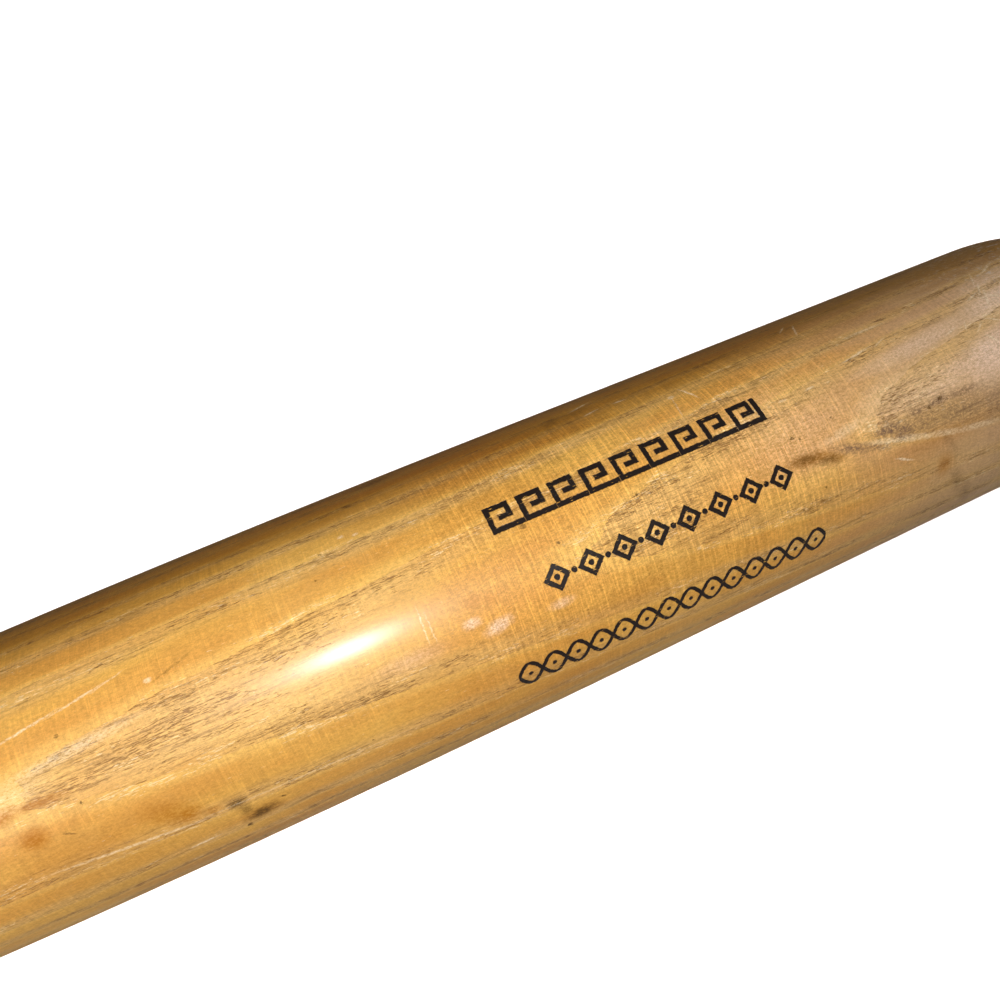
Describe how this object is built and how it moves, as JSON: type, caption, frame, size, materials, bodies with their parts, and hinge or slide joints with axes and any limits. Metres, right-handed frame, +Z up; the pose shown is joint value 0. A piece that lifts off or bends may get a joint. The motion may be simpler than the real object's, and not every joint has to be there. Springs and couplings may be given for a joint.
{
  "type": "wooden baseball bat",
  "caption": "Youth-size wooden baseball bat, turned from one honey-coloured ash billet, with a round knob and dark cloth tape lapped round the handle.",
  "frame": {"origin": "centre of the knob's flat end face", "axes": "+X along the bat's turning axis from the knob to the tip, +Z up as the bat lies on a table"},
  "size_m": [0.762, 0.057, 0.057],
  "materials": {
    "lacquered_ash": "honey-coloured lacquer over ash, glossy, worn and greyed towards the tip",
    "grip_cloth": "black cloth friction tape, matt, rubbed at the lapped edges",
    "band_cloth": "black cloth friction tape, matt"
  },
  "bodies": {
    "root": {"bat_body": "lacquered_ash", "grip_tape": "grip_cloth", "grip_end_band": "band_cloth"}
  },
  "joints": []
}
